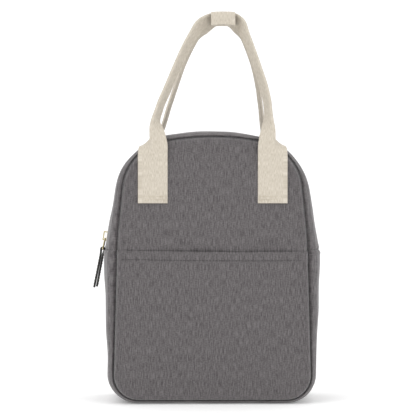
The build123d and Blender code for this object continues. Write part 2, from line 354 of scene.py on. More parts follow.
@dataclass(frozen=True)
class HeatheredCloth(Finish):
    """Plain-weave polyester of a dark and a light yarn: slubs show as short soft streaks."""

    warp_streak: tuple[float, float] = (0.7, 8.0)
    weft_streak: tuple[float, float] = (2.4, 0.8)
    thread: float = 1.1

    def share(self, tree: Tree, place: Socket) -> Socket:
        """Warp streaks and fainter weft streaks: noise stretched to one streak's width and length."""
        outputs = []
        for width, length in (self.warp_streak, self.weft_streak):
            scaled = add(
                tree, "ShaderNodeMapping", {"Vector": place, "Scale": (1 / width, 1 / length, 1.0)}
            )
            noise = add(
                tree,
                "ShaderNodeTexNoise",
                {"Vector": scaled.outputs["Vector"], "Scale": 1.0, "Detail": 2.0, "Roughness": 0.6},
            )
            outputs.append(noise.outputs["Fac"])
        both = add(tree, "ShaderNodeMix", {0: 0.36, 2: outputs[0], 3: outputs[1]}, data_type="FLOAT")
        spread = add(
            tree, "ShaderNodeMapRange", {"Value": both.outputs[0], "From Min": 0.37, "From Max": 0.63}
        )
        return spread.outputs["Result"]

    def height(self, tree: Tree, place: Socket) -> Socket:
        """Warp and weft as two crossed waves of one thread's spacing, multiplied.

        The real yarns are about 0.4 mm apart, so they are drawn coarser, to show at all.
        """
        waves = [
            add(
                tree,
                "ShaderNodeTexWave",
                {"Vector": place, "Scale": stripes(self.thread), "Distortion": 1.2, "Detail": 1.0},
                bands_direction=direction,
            ).outputs["Fac"]
            for direction in ("X", "Y")
        ]
        return add(
            tree, "ShaderNodeMath", {0: waves[0], 1: waves[1]}, operation="MULTIPLY"
        ).outputs["Value"]


@dataclass(frozen=True)
class CottonWebbing(Finish):
    """Undyed cotton webbing: fine cords along its length, crossed by the weft."""

    cord: float = 1.3
    weft: float = 0.9

    def share(self, tree: Tree, place: Socket) -> Socket:
        """Seed flecks and slightly darker cords: stretched noise."""
        scaled = add(tree, "ShaderNodeMapping", {"Vector": place, "Scale": (2 / self.cord, 1 / 4.0, 1.0)})
        noise = add(
            tree, "ShaderNodeTexNoise", {"Vector": scaled.outputs["Vector"], "Scale": 1.0, "Detail": 3.0}
        )
        spread = add(
            tree, "ShaderNodeMapRange", {"Value": noise.outputs["Fac"], "From Min": 0.2, "From Max": 0.66}
        )
        return spread.outputs["Result"]

    def height(self, tree: Tree, place: Socket) -> Socket:
        """The weft's ridges across the cords: one wave along the length."""
        return add(
            tree,
            "ShaderNodeTexWave",
            {"Vector": place, "Scale": stripes(self.weft), "Distortion": 2.5, "Detail": 1.0},
            bands_direction="Y",
        ).outputs["Fac"]


@dataclass(frozen=True)
class GrainedFinish(Finish):
    """A surface with an even grain of one size: leather, foam cells, film wrinkles or brushed pile."""

    grain: float = 0.8

    def height(self, tree: Tree, place: Socket) -> Socket:
        """Rounded cells of the grain's width."""
        return add(
            tree, "ShaderNodeTexVoronoi", {"Vector": place, "Scale": 1 / self.grain}
        ).outputs["Distance"]


@dataclass(frozen=True)
class PlatedMetal(Finish):
    """Zinc casting plated pale gold: polished, with faint wear. Its CAD mesh has no flat places."""

    def material(self, relief: float = 0.02) -> bpy.types.Material:
        """Mottled plating and a fine relief, both on object coordinates, in metres."""
        made = bpy.data.materials.new(self.slot)
        made.use_nodes = True
        tree = made.node_tree
        tree.nodes.clear()
        place = add(tree, "ShaderNodeTexCoord").outputs["Object"]
        wear = add(tree, "ShaderNodeTexNoise", {"Vector": place, "Scale": 450.0, "Detail": 4.0})
        colour = add(
            tree,
            "ShaderNodeMix",
            {0: wear.outputs["Fac"], 6: linear(self.dark), 7: linear(self.light)},
            data_type="RGBA",
        )
        bump = add(
            tree,
            "ShaderNodeBump",
            {"Height": wear.outputs["Fac"], "Strength": 0.3, "Distance": relief * MM},
        )
        shader = add(
            tree,
            "ShaderNodeBsdfPrincipled",
            {
                "Base Color": colour.outputs[2],
                "Metallic": 1.0,
                "Roughness": self.roughness,
                "Normal": bump.outputs["Normal"],
            },
        )
        add(tree, "ShaderNodeOutputMaterial", {"Surface": shader.outputs["BSDF"]})
        return made


class Finishes:
    """The bag's materials, each made once."""

    def __init__(self) -> None:
        """Makes every material from its finish."""
        # Matt piece-dyed polyester: grey with a slight warmth, and a little fuzz at grazing angles.
        self.cloth = HeatheredCloth("charcoal_cloth", "#454142", "#726e6f", 0.93, sheen=0.3)
        # Undyed cotton: warm off-white, quite matt.
        self.webbing = CottonWebbing("cotton_webbing", "#b3a997", "#d7cfc2", 0.95, sheen=0.1)
        # Heat-sealed film: satin, pale silver.
        self.film = GrainedFinish("liner_film", "#b4b8ba", "#c9cccd", 0.34, metallic=0.35, grain=6.0)
        # Closed-cell polyethylene foam: off-white, with fine cells.
        self.foam = GrainedFinish("insulation_foam", "#dcdcd6", "#ecece6", 0.85, grain=1.2)
        # Vegetable-tanned leather dyed black, with a fine pebble.
        self.leather = GrainedFinish("black_leather", "#1b1918", "#2b2826", 0.5, grain=0.7)
        # Moulded nylon, dyed black, slightly shiny.
        self.nylon = GrainedFinish("nylon_coil", "#2e2d2e", "#3a393a", 0.42, grain=0.5)
        # Woven polyester tape, dyed to the cloth.
        self.tape = HeatheredCloth("dark_tape", "#343233", "#434041", 0.9, thread=0.9)
        # Hook-and-loop tape: brushed nylon pile.
        self.pile = GrainedFinish("hook_and_loop", "#c2b8a2", "#d8cfba", 0.95, grain=0.6)
        # Cotton-wrapped sewing thread.
        self.thread = GrainedFinish("cotton_thread", "#c2b9a6", "#d6cebd", 0.8, grain=0.4)
        # Pale gold plating.
        self.metal = PlatedMetal("pale_gold_metal", "#c9ba8c", "#e2d7b2", 0.22)
        self.made = {
            finish.slot: finish.material()
            for finish in (
                self.cloth,
                self.webbing,
                self.film,
                self.foam,
                self.leather,
                self.nylon,
                self.tape,
                self.pile,
                self.thread,
                self.metal,
            )
        }
        # The cloth's own sewing thread is dyed to match it.
        self.made["dark_thread"] = GrainedFinish("charcoal_cloth", "#3e3b3c", "#504d4e", 0.8).material()

    def __getitem__(self, slot: str) -> bpy.types.Material:
        """The material of a slot."""
        return self.made[slot]


# ---- how pieces move --------------------------------------------------------------------------------


@dataclass(frozen=True)
class Motion:
    """A body that a piece rides on, or a second body and two heights, low and high, in mm, for a piece
    that stays where it is.
    """

    body: str
    onto: Optional[str] = None
    low: float = 0.0
    high: float = 0.0

    def apply(self, piece: Piece) -> None:
        """Rides the finished piece on its body, or, with a second body, bakes its place into its mesh so
        that it stays still.
        """
        if self.onto is None:
            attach(piece, self.body)
        else:
            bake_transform(piece)


class Side(Enum):
    """The two large faces of the bag: the sign of their Y."""

    FRONT = -1
    BACK = 1


def joint_place(name: str) -> Array:
    """Where a joint's axis is, in mm."""
    return next(np.array(j["pos_m"]) for j in frame["joints"] if j["name"] == name) / MM


FOLD = float(joint_place("front_flap_fold")[2])
FIXED = Motion("bag_body")
BEND = 42.0  # mm of cloth above the fold seam, given to the opening as its upper height
OPENING = Motion("bag_body", "front_flap", FOLD, FOLD + BEND)
INSIDE = (0.0, 0.0, 130.0)  # a place in the middle of the bag
OUTSIDE = 300.0  # a depth well outside it


def settle(
    piece: Piece, motion: Motion, replaces: Sequence[str] = ()
) -> Piece:
    """Hides the CAD nodes that the piece stands for, and sets how it moves."""
    if replaces:
        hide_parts(*replaces)
    motion.apply(piece)
    return piece


# ---- the bag's form ---------------------------------------------------------------------------------


@dataclass(frozen=True)
class Outline:
    """A closed outline, mirrored in X, from its right-hand corners: (x, z, corner radius) in mm."""

    corners: tuple[tuple[float, float, float], ...]

    def ring(self) -> list[tuple[float, float]]:
        """Every corner in order, anticlockwise as seen from the front."""
        right = [(x, z) for x, z, _ in self.corners]
        return right + [(-x, z) for x, z in reversed(right[:-1])]

    def turns(self) -> Iterator[tuple[Array, Array, Array, float, float]]:
        """For each right-hand corner: its place, the way in, the way out, its turn and its radius."""
        ring = self.ring()
        for i, (_, _, radius) in enumerate(self.corners):
            before, corner, after = (np.array(ring[k % len(ring)]) for k in (i - 1, i, i + 1))
            first, second = unit(corner - before), unit(after - corner)
            yield corner, first, second, math.acos(float(np.clip(first @ second, -1, 1))), radius

    def inset(self, depth: float) -> "Outline":
        """The outline moved in: each corner along its bisector by depth over the half turn's cosine."""
        moved = []
        for corner, first, second, turn, radius in self.turns():
            place = corner + unit(second - first) * depth / math.cos(turn / 2)
            moved.append((float(place[0]), float(place[1]), radius - depth))
        return Outline(tuple(moved))

    def half(self, steps: int = 41) -> Array:
        """The right half, from bottom centre to top centre: an arc at each corner, and straight runs."""
        parts = [np.array([[0.0, self.corners[0][1]]])]
        for corner, first, _, turn, radius in self.turns():
            inward = np.array([-first[1], first[0]])
            start = corner - first * radius * math.tan(turn / 2)
            angle = np.linspace(0, turn, steps)[:, None]
            parts.append(start + radius * (np.sin(angle) * first + (1 - np.cos(angle)) * inward))
        line = np.concatenate(parts)
        return line[line[:, 0] >= -1e-6]

    def at(self, share: Array) -> Array:
        """Places on the outline.

        Share 0 is the bottom centre, 1 the fold seam on the right, 2 the top centre, and below 0 the same
        on the left, evenly spaced along the line between those.
        """
        line = self.half()
        run = run_of(line)
        rising = line[:, 1] >= FOLD
        first = int(np.argmax(rising))
        at_fold = float(np.interp(FOLD, line[first - 1 : first + 1, 1], run[first - 1 : first + 1]))
        reach = np.interp(np.abs(share), [0, 1, 2], [0, at_fold, run[-1]])
        x = np.interp(reach, run, line[:, 0]) * np.where(np.asarray(share) < 0, -1, 1)
        return np.stack([x, np.interp(reach, run, line[:, 1])], axis=-1)

    def length(self, low: float, high: float) -> float:
        """Length of the outline between two shares."""
        return float(run_of(self.at(np.linspace(low, high, 400)))[-1])

    def distance(self, x: Array, z: Array) -> Array:
        """Distance of each place from the outline: the least to any of 900 points on it."""
        line = self.at(np.linspace(-2, 2, 900))
        gaps = (np.asarray(x)[..., None] - line[:, 0]) ** 2 + (np.asarray(z)[..., None] - line[:, 1]) ** 2
        return np.sqrt(gaps.min(-1))


def arch(h: Array) -> Array:
    """Outline share along the zip's arch: h runs from -1 at the left fold over 0 at the top to 1."""
    return np.where(np.asarray(h) >= 0, 2 - np.asarray(h), -2 - np.asarray(h))


@dataclass(frozen=True)
class BagForm:
    """The soft body: a flat-ish front and back, and a gusset that bulges beyond their seams, in mm."""

    half_depth: float = float(-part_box("cloth_front_upper")[0][1] / MM)
    seam: Outline = Outline(
        ((95.2, 3.7, 24.0), (91.0, 160.0, 150.0), (82.4, 247.1, 50.0), (0.0, 258.7, 240.0))
    )
    side: Outline = Outline(
        ((100.2, 0.0, 27.0), (104.3, 141.0, 60.0), (86.0, 252.0, 66.0), (0.0, 265.5, 235.0))
    )
    seam_drop: float = 4.2
    zip_half_gap: float = 4.5
    shoulder: float = 3.2
    side_swell: float = 1.0
    groove_width: float = 1.35
    rolled_edge: float = 1.3
    padding: float = 1.5
    lowest: float = 0.1

    def edge(self, depth: float) -> float:
        """Half depth at which panel and gusset are sewn together, at a depth inside the cloth."""
        return self.half_depth - self.seam_drop - depth

    def skin(self, share: Array, q: Array, depth: float = 0.0) -> Array:
        """The gusset's surface.

        At q of -1 and 1 it is on the seam outline, and between them it bulges towards the side outline by
        the root of 1 less q to the sixth, and stands forward a little just outside the seam. Cloth on the
        sides swells a little more between the zip and the seams, it is pinched at the fold seam, and it
        rests flat on whatever the bag stands on.

        Args:
            share: (n,) places along the outline.
            q: (m,) places across the gusset, -1 at the front seam to 1 at the back one.
            depth: how far under the cloth's face.

        Returns:
            (n, m, 3) places.
        """
        inner, outer = self.seam.inset(depth).at(share), self.side.inset(depth).at(share)
        bulge = np.sqrt(np.maximum(1 - np.abs(q) ** 6, 0))[None, :, None]
        flat = inner[:, None] + (outer - inner)[:, None] * bulge
        tangent = unit(np.gradient(outer, axis=0))
        out = np.stack([tangent[:, 1], -tangent[:, 0]], axis=-1)
        out = out * np.sign((out * (outer - np.array([0.0, INSIDE[2]]))).sum())
        y = np.asarray(q) * self.edge(depth)
        if depth == 0:
            over = bulge[0, :, 0]
            y = y + np.sign(q) * self.shoulder * smooth(over, 0, 0.3) * (1 - smooth(over, 0.3, 0.95))
        away = np.abs(y)[None]
        height = flat[..., 1]
        beside = smooth(np.abs(flat[..., 0]), 60, 90) * smooth(away, 9, 22) * bulge[..., 0]
        swell = self.side_swell * beside * smooth(height, 30, 90)
        if depth == 0:
            run = np.cumsum(np.linalg.norm(np.gradient(outer, axis=0), axis=1))[:, None]
            roll = 0.7 * ridge(away, self.edge(0) - 3.0, 2.2)
            pinch = 0.7 * ridge(height, FOLD - 3.4, 1.8) - 0.9 * ridge(height, FOLD, 1.0)
            puckers = 0.35 * np.sin(2 * math.pi * y / 8.5)[None] * ridge(height, FOLD, 5.0)
            loose = 0.35 * unevenness(run, np.broadcast_to(y, height.shape), 42, 5) * bulge[..., 0]
            on_side = smooth(np.abs(flat[..., 0]), 60, 80)
            swell = swell + roll + (pinch + puckers) * on_side * smooth(away, 3, 9) + loose
        flat = flat + swell[..., None] * out[:, None]
        if depth == 0:
            flat[..., 1] = np.maximum(flat[..., 1], self.lowest)
        return np.stack([flat[..., 0], np.broadcast_to(y, height.shape), flat[..., 1]], axis=-1)

    def gusset(self, shares: Array, q: Array, depth: float = 0.0) -> Patch:
        """A stretch of gusset: its skin, with the run along the outline and Y as its flat places."""
        line = self.side.inset(depth).at(shares)
        run, y = np.meshgrid(run_of(line), np.asarray(q) * self.edge(depth), indexing="ij")
        return Patch(self.skin(shares, q, depth), np.stack([y, run], axis=-1))

    def panel_rise(self, x: Array, z: Array, away: Array) -> Array:
        """How far the cloth of a panel stands out from the seam plane.

        A groove at the seam, a rolled edge beside it, a slow swell of the padding, and unevenness.
        """
        groove = -self.seam_drop * ridge(away, 0, self.groove_width)
        rolled = self.rolled_edge * ridge(away, 3.2, 1.9)
        uneven = 0.35 * unevenness(x, z, 60, 3) * smooth(away, 6, 30)
        return groove + rolled + self.padding * smooth(away, 5, 50) + uneven

    def front_rise(self, x: Array, z: Array, away: Array) -> Array:
        """The front panel: as any panel above the pocket, and held flat and low behind it."""
        behind = 1 - smooth(z, FOLD - 9, FOLD - 2)
        low = -self.seam_drop - 0.6 + 1.0 * smooth(away, 0, 14)
        return self.panel_rise(x, z, away) * (1 - behind) + low * behind

    def panel(self, side: Side, depth: float = 0.0, margin: float = 0.0) -> Patch:
        """A front or back panel.

        Rings that shrink from the seam outline to the panel's middle, closely spaced near the seam. The
        cloth's face rises by panel_rise; inner layers are flat.

        Args:
            side: which panel.
            depth: how far under the cloth's face.
            margin: how far inside the seam it ends.

        Returns:
            The patch, with X and Z as its flat places.
        """
        outline = self.seam.inset(margin) if margin else self.seam
        ring = outline.at(np.linspace(-2, 2, 361))
        middle = np.array([0.0, 132.0])
        shrink = 1 - np.concatenate([np.linspace(0, 0.13, 27), np.linspace(0.15, 1, 24)])
        flat = middle + shrink[:, None, None] * (ring - middle)
        x, z = flat[..., 0], flat[..., 1]
        rise = np.zeros_like(x)
        if depth == 0:
            away = self.seam.distance(x, z)
            rise = self.front_rise(x, z, away) if side is Side.FRONT else self.panel_rise(x, z, away)
        y = side.value * (self.half_depth - depth + rise)
        return Patch(np.stack([x, y, z], axis=-1), flat)

    def front_face(self, x: Array, z: Array, side: Side) -> Array:
        """Y of the cloth's face at places on the upper panel."""
        return side.value * (self.half_depth + self.panel_rise(x, z, self.seam.distance(x, z)))

    def zip_line(self, h: Array, y: float, out: float) -> tuple[Array, Array, Array]:
        """A line along the zip's arch: (places, directions, outward directions).

        Args:
            h: places along the arch, -1 to 1.
            y: distance from the middle plane, signed.
            out: how far outside the gusset's outline.
        """
        line = self.side.at(arch(h))
        along = unit(np.gradient(line, axis=0))
        outward = np.stack([-along[:, 1], along[:, 0]], axis=-1)
        flat = line + outward * out
        places = np.stack([flat[:, 0], np.full(len(flat), y), flat[:, 1]], axis=-1)
        zero = np.zeros(len(flat))
        directions = np.stack([along[:, 0], zero, along[:, 1]], axis=-1)
        return places, directions, np.stack([outward[:, 0], zero, outward[:, 1]], axis=-1)


# ---- the body's pieces ------------------------------------------------------------------------------


@dataclass
class SoftBody:
    """Cloth, foam and liner of the panels and gussets, and the bindings inside."""

    form: BagForm
    finishes: Finishes
    foam_depth: float = 2.2
    liner_depth: float = 5.4
    cloth: float = 0.8
    foam: float = 2.8
    film: float = 0.4
    tuck: float = 0.6
    panel_cut: tuple[float, float] = (188.0, 254.0)
    panel_share: float = 0.93
    bulge_share: float = 1.1
    binding: tuple[float, float] = (7.4, 15.6)
    binding_cut: float = 10.0
    binding_face: float = 8.0

    def layers(self) -> list[tuple[str, str, float, float]]:
        """(name, slot, depth, thickness) of the three layers, outside first."""
        return [
            ("cloth", "charcoal_cloth", 0.0, self.cloth),
            ("foam", "insulation_foam", self.foam_depth, self.foam),
            ("liner", "liner_film", self.liner_depth, self.film),
        ]

    def build_panels(self) -> None:
        """Front and back, each of cloth, foam and liner."""
        for side, motion in ((Side.FRONT, OPENING), (Side.BACK, FIXED)):
            word = side.name.lower()
            for layer, slot, depth, thick in self.layers():
                patch = self.form.panel(side, depth, 0.0 if depth == 0 else depth + self.tuck)
                name = f"{word}_panel" if layer == "cloth" else f"{word}_{layer}"
                piece = make_piece(name, [patch], self.finishes[slot], INSIDE, thick)
                parts = ("_lower", "_upper") if side is Side.FRONT else ("",)
                settle(piece, motion, [f"{layer}_{word}{part}" for part in parts])

    def build_gussets(self) -> None:
        """The lower gusset round the base, and an upper gusset each side of the zip."""
        form = self.form
        inner = form.zip_half_gap
        round_base = np.linspace(-1, 1, 260)
        over_top = arch(np.linspace(-1, 1, 241))
        for layer, slot, depth, thick in self.layers():
            end = 1.0 if depth == 0 else 1 - (depth + self.tuck) / form.edge(0) * 0.35
            stop = (inner + (0.0 if depth == 0 else 8.0)) / form.edge(depth)
            across = np.sin(np.linspace(-math.pi / 2, math.pi / 2, 85)) * end
            half = stop + (end - stop) * np.sin(np.linspace(0, math.pi / 2, 43))
            jobs = (
                ("lower_gusset", "gusset_lower", round_base, across, FIXED),
                ("upper_gusset_front", "gusset_upper_front", over_top, -half[::-1], OPENING),
                ("upper_gusset_back", "gusset_upper_back", over_top, half, FIXED),
            )
            for name, node, shares, q, motion in jobs:
                patch = form.gusset(shares, q, depth)
                full = name if layer == "cloth" else f"{name}_{layer}"
                piece = make_piece(full, [patch], self.finishes[slot], INSIDE, thick)
                if layer == "foam":
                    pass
                else:
                    wide = float(np.ptp(q)) * form.edge(depth)
                settle(piece, motion, [f"{layer}_{node}"])

    def build_bindings(self) -> None:
        """A bound seam allowance inside each panel's corner: a half-round strip along the outline."""
        form = self.form
        shares = np.linspace(-2, 2, 361)
        low, high = (form.seam.inset(depth).at(shares) for depth in self.binding)
        for side, motion, nodes in (
            (Side.FRONT, OPENING, ["binding_front_lower", "binding_front_upper"]),
            (Side.BACK, FIXED, ["binding_back"]),
        ):
            turn = np.linspace(0, math.pi, 9)
            share = (1 - np.cos(turn))[None, :, None] / 2
            flat = low[:, None] + (high - low)[:, None] * share
            lift = form.half_depth - 6.2 - 1.1 * np.sin(turn)
            y = side.value * np.broadcast_to(lift, flat.shape[:2])
            run = np.broadcast_to(run_of(low)[:, None], flat.shape[:2])
            points = np.stack([flat[..., 0], y, flat[..., 1]], axis=-1)
            around = np.broadcast_to(share[..., 0] * self.binding_face, flat.shape[:2])
            patch = Patch(points, np.stack([around, run], axis=-1))
            word = side.name.lower()
            behind = (0.0, side.value * OUTSIDE, INSIDE[2])
            piece = make_piece(f"{word}_binding", [patch], self.finishes["dark_tape"], behind, 0.4)
            settle(piece, motion, nodes)


def stitch(length: float, thread: float) -> Patch:
    """One stitch along X: a thread that dips at both ends, six-sided."""
    along = np.array([-0.5, -0.38, 0.0, 0.38, 0.5]) * length
    dip = np.array([-0.9, -0.1, 0.3, -0.1, -0.9]) * thread
    path = np.stack([along, -dip, np.zeros(5)], axis=-1)
    ring = np.linspace(0, 2 * math.pi, 7)
    section = np.stack([np.cos(ring), np.sin(ring)], axis=-1) * thread / 2
    return sweep(path, all_along(Y_WAY, path), all_along(Z_WAY, path), section)


@dataclass
class FrontPocket:
    """The flat pocket over the lower front: sewn in at the sides and base, open along its hemmed top."""

    form: BagForm
    finishes: Finishes
    top: float = float(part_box("front_pocket")[1][2] / MM)
    hem: float = 8.6
    half_width: float = 92.0
    cut: tuple[float, float] = (188.0, 148.0)
    hem_cut: tuple[float, float] = (182.0, 11.8)
    tuck: float = 11.0
    stitch_pitch: float = 3.1

    def edge_height(self, x: Array) -> Array:
        """Height of the hem's edge: a slight slope and sag between the side seams."""
        across = np.asarray(x) / self.half_width
        return self.top - 0.5 + 0.9 * across**2 - 0.6 * across

    def mouth(self, x: Array) -> Array:
        """How far the hem's edge stands off the panel: nothing at the seams, and up to 3.4 mm between."""
        gap = 1.7 + 1.3 * unevenness(x, np.zeros_like(x), 55, 11)
        return np.clip(gap, 0.5, 3.4) * smooth(self.half_width - np.abs(x), 0, 12)

    def rise(self, x: Array, z: Array, away: Array) -> Array:
        """How far the pocket's cloth stands out from the seam plane.

        A seam groove and rolled edge as on a panel, a slow belly, a dip along the hem's stitching, a soft
        rounded edge above it, and unevenness that grows towards the mouth.
        """
        below = self.edge_height(x) - z
        near_mouth = 1 - smooth(below, 0, 55)
        groove = -(self.form.seam_drop - 0.3) * ridge(away, 0, 1.0)
        rolled = 1.3 * ridge(away, 2.6, 1.7)
        belly = 0.6 + 2.0 * smooth(away, 4, 45) + 0.5 * unevenness(x, z, 52, 8) * smooth(away, 5, 26)
        stitched = -0.75 * ridge(below, self.hem, 1.1) * smooth(away, 1, 6)
        lip = 0.35 * ridge(below, 3.4, 2.6) - 0.5 * ridge(below, 0, 1.1)
        return groove + rolled + belly + stitched + lip + near_mouth * self.mouth(x)

    def face(self, x: Array, z: Array) -> Array:
        """Y of the pocket's face."""
        return -(self.form.half_depth + self.rise(x, z, self.form.seam.distance(x, z)))

    def build_cloth(self) -> Array:
        """The pocket's cloth: rings that shrink from its seam and its hemmed edge to its middle.

        Returns:
            (n, 2) places of the hemmed edge, X and Z.
        """
        base = self.form.seam.at(np.linspace(-1, 1, 361))
        base = base[base[:, 1] <= self.edge_height(base[:, 0])]
        lid_x = np.linspace(base[-1, 0], base[0, 0], 150)
        lid = np.stack([lid_x, self.edge_height(lid_x)], axis=-1)
        ring = np.concatenate([base, lid[1:-1], base[:1]])
        middle = np.array([0.0, 78.0])
        shrink = 1 - np.concatenate([np.linspace(0, 0.2, 41), np.linspace(0.22, 1, 20)])
        flat = middle + shrink[:, None, None] * (ring - middle)
        x, z = flat[..., 0], flat[..., 1]
        patch = Patch(np.stack([x, self.face(x, z), z], axis=-1), flat)
        behind = (0.0, OUTSIDE, 80.0)
        front = make_piece("front_pocket_cloth", [patch], self.finishes["charcoal_cloth"], behind, 0.8)
        settle(front, FIXED, ["front_pocket"])
        return lid

    def build_hem(self, lid: Array) -> None:
        """The hem turned in behind the cloth's edge: down as a square, and back as a root of a sine.

        Args:
            lid: (n, 2) places of the hemmed edge.
        """
        turn = np.linspace(0, 1, 7)[:, None]
        down = self.tuck * turn**2
        z = lid[:, 1] - down
        x = np.broadcast_to(lid[:, 0], z.shape)
        y = self.face(lid[:, 0], lid[:, 1]) + 1.0 * np.sin(turn * math.pi / 2) ** 0.5
        patch = Patch(np.stack([x, y, z], axis=-1), np.stack([x, lid[:, 1] + down], axis=-1))
        before = (0.0, -OUTSIDE, 80.0)
        hem = make_piece("front_pocket_hem", [patch], self.finishes["charcoal_cloth"], before, 0.5)
        settle(hem, FIXED)

    def build_stitches(self) -> None:
        """The row of stitches that holds the hem."""
        x = np.arange(-86.0, 86.1, self.stitch_pitch)
        z = self.edge_height(x) - self.hem
        places = np.stack([x, self.face(x, z) - 0.05, z], axis=-1)
        frames = np.broadcast_to(np.eye(3), (len(places), 3, 3))
        row = repeated(stitch(2.3, 0.5), places, frames)
        piece = make_piece("front_pocket_stitches", row, self.finishes["dark_thread"])
        settle(piece, FIXED)

    def build(self) -> None:
        """Cloth, hem and stitches."""
        lid = self.build_cloth()
        self.build_hem(lid)
        self.build_stitches()


# ---- the zip ----------------------------------------------------------------------------------------


@dataclass
class Zip:
    """Two tapes with interlocking coils over the arch, stops, a slider, its link and a leather pull."""

    form: BagForm
    finishes: Finishes
    pitch: float = 1.5
    strap: tuple[float, float] = (6.2, 1.9)
    strap_length: float = 38.5
    lean: float = 11.0
    parting: float = 0.15
    tape_columns: tuple[float, ...] = (0.9, 2.0, 4.0, 7.0, 11.0, 14.6)

    def build_tapes(self) -> None:
        """A woven strip each side, under the gusset's turned edges."""
        h = np.linspace(-1, 1, 301)
        for side, motion in ((Side.FRONT, OPENING), (Side.BACK, FIXED)):
            lines = [self.form.zip_line(h, side.value * y, -1.5)[0] for y in self.tape_columns]
            points = np.stack(lines, axis=1)
            run, across = np.meshgrid(run_of(lines[0]), self.tape_columns, indexing="ij")
            word = side.name.lower()
            patch = Patch(points, np.stack([across, run], axis=-1))
            piece = make_piece(f"zip_{word}_tape", [patch], self.finishes["dark_tape"], INSIDE, 0.5)
            settle(piece, motion, [f"zip_tape_{word}"])

    def build_coils(self) -> None:
        """Rows of teeth: each is a six-sided bar across the tape, and the two rows alternate."""
        length = self.form.side.length(1, 2) * 2
        count = int((length - 12) / self.pitch)
        ring = np.linspace(0, 2 * math.pi, 7)
        reach = np.array([-0.9, -0.5, 1.9, 2.4])
        girth = np.array([0.34, 0.5, 0.5, 0.36])
        for side, motion, shift in ((Side.FRONT, OPENING, 0.0), (Side.BACK, FIXED, 0.5)):
            h = -0.975 + 1.95 * (np.arange(count) + shift) / count
            places, along, outward = self.form.zip_line(h, 0.0, -0.35)
            path = np.stack([np.zeros(4), reach * side.value, np.zeros(4)], axis=-1)
            section = np.stack([np.cos(ring), np.sin(ring)], axis=-1)[None] * girth[:, None, None]
            tooth = sweep(path, all_along(X_WAY, path), all_along(Z_WAY, path), section)
            frames = np.stack([along, all_along(Y_WAY, places), outward], axis=1)
            teeth = repeated(tooth, places, frames)
            word = side.name.lower()
            piece = make_piece(f"zip_{word}_coil", teeth, self.finishes["nylon_coil"])
            settle(piece, motion, [f"zip_coil_{word}"])

    def build_stops(self) -> None:
        """A crimped bar across the coil's foot at each side."""
        low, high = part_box("zip_stops")
        section = round_section(min(float(high[1] - low[1]) / MM, 5.0), 1.3, 0.5)
        patches = []
        for end in (-0.985, 0.985):
            h = np.array([end - 0.004, end, end + 0.004])
            place, along, outward = (line[1] for line in self.form.zip_line(h, 0, 0.1))
            path = place + np.linspace(-1.6, 1.6, 2)[:, None] * along
            patches.append(sweep(path, all_along(Y_WAY, path), all_along(outward, path), section))
        piece = make_piece("zip_end_stops", patches, self.finishes["nylon_coil"])
        settle(piece, FIXED, ["zip_stops"])

    def build_pull(self) -> None:
        """A leather strap folded through the link and sewn, whose two ends part a little.

        The path lies in the XZ plane about the link's lower bar: down one side, half a turn over the bar,
        and down the other. The gap between the sides closes under the bar and opens to the tip.
        """
        eye = joint_place("leather_pull_swing")
        lean = math.radians(self.lean)
        down = np.array([-math.sin(lean), 0.0, -math.cos(lean)])
        out = np.array([-math.cos(lean), 0.0, math.sin(lean)])
        thick = self.strap[1]
        drop = np.linspace(0, 1, 40) ** 1.2 * self.strap_length
        parting = self.parting * smooth(drop, 14, self.strap_length)
        gap = thick / 2 + 0.12 + 0.7 * ridge(drop, 0, 3.0) + parting
        turn = np.linspace(0, math.pi, 13)[1:-1]
        over = gap[0] * np.stack([-np.sin(turn), np.cos(turn)], axis=-1)
        near, far = np.stack([drop, gap], axis=-1), np.stack([drop * 0.965, -gap], axis=-1)
        flat = np.concatenate([near[::-1], over, far])
        path = eye + flat[:, :1] * down + flat[:, 1:] * out
        along = unit(np.gradient(path, axis=0))
        width_way = all_along(Y_WAY, path)
        section = round_section(self.strap[0], thick, 0.45)
        patch = sweep(path, width_way, np.cross(along, width_way), section)
        piece = make_piece("leather_pull_strap", [patch], self.finishes["black_leather"])
        settle(piece, Motion("leather_pull"), ["leather_pull"])
        marks = np.arange(5.5, self.strap_length - 3, 2.9)
        half = thick + 0.05 + self.parting * smooth(marks, 14, self.strap_length)
        threads = []
        for sign in (-1, 1):
            places = eye + marks[:, None] * down + (sign * half)[:, None] * out
            frames = np.broadcast_to(np.array([down, -sign * out, Y_WAY]), (len(marks), 3, 3))
            for y in (-1.9, 1.9):
                threads += repeated(stitch(2.2, 0.42), places + np.array([0, y, 0]), frames)
        sewn = make_piece("leather_pull_stitches", threads, self.finishes["nylon_coil"])
        settle(sewn, Motion("leather_pull"))

    def build(self) -> None:
        """Every piece of the zip. The slider's body and link keep their CAD shape, in plated metal."""
        self.build_tapes()
        self.build_coils()
        self.build_stops()
        self.build_pull()
        for node in ("zip_slider_body", "pull_link"):
            part = frame["nodes"][node]
            part.data.materials.clear()
            part.data.materials.append(self.finishes["pale_gold_metal"])
            log.info("%s: CAD shape in plated metal", node)


# ---- the handles ------------------------------------------------------------------------------------


@dataclass(frozen=True)
class Leg:
    """One leg of a handle: (x, y, z) of the webbing's middle line from the tab to the wrap, in mm.

    Y is measured outwards from the middle plane, and inner is the sign of X towards the other leg.
    """

    route: tuple[tuple[float, float, float], ...]
    inner: int


@dataclass(frozen=True)
class HandleShape:
    """A handle: its side and two legs, and how its webbing folds and turns.

    Fold and turning are the heights in mm between which it folds in two and turns about its own line.
    Turn and turn_at_wrap are degrees from facing front, along the leg and inside the wrap.
    """

    side: Side
    legs: tuple[Leg, Leg]
    fold: tuple[float, float]
    turning: tuple[float, float]
    turn: float
    turn_at_wrap: float
    motion: Motion
    tabs: str
    loop: str


